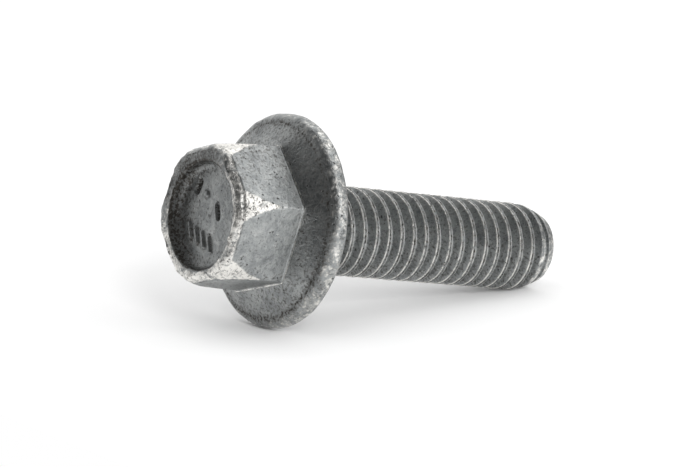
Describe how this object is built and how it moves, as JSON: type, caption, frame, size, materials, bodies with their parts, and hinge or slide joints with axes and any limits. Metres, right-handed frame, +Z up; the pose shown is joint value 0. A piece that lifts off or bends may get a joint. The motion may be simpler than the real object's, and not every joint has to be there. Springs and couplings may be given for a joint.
{
  "type": "hex flange bolt",
  "caption": "Cold-forged hex flange bolt with a dished, crowned hexagon head, a thick round-edged flange and a right-hand thread nearly up to the flange, lying on its rim and tip.",
  "frame": {"origin": "middle of the lying bolt's bounding box, on the ground that its rim and tip touch", "axes": "+Z up, +X from the head towards the shank's tip; the shank's axis leans 10.8 degrees down towards the tip in the XZ plane"},
  "size_m": [0.0444, 0.0218, 0.0215],
  "materials": {
    "zinc_coat": "thick zinc coat on forged and thread-rolled steel, dull grey, pitted, with worn bright edges"
  },
  "bodies": {
    "root": {"flange_bolt": "zinc_coat"}
  },
  "joints": []
}
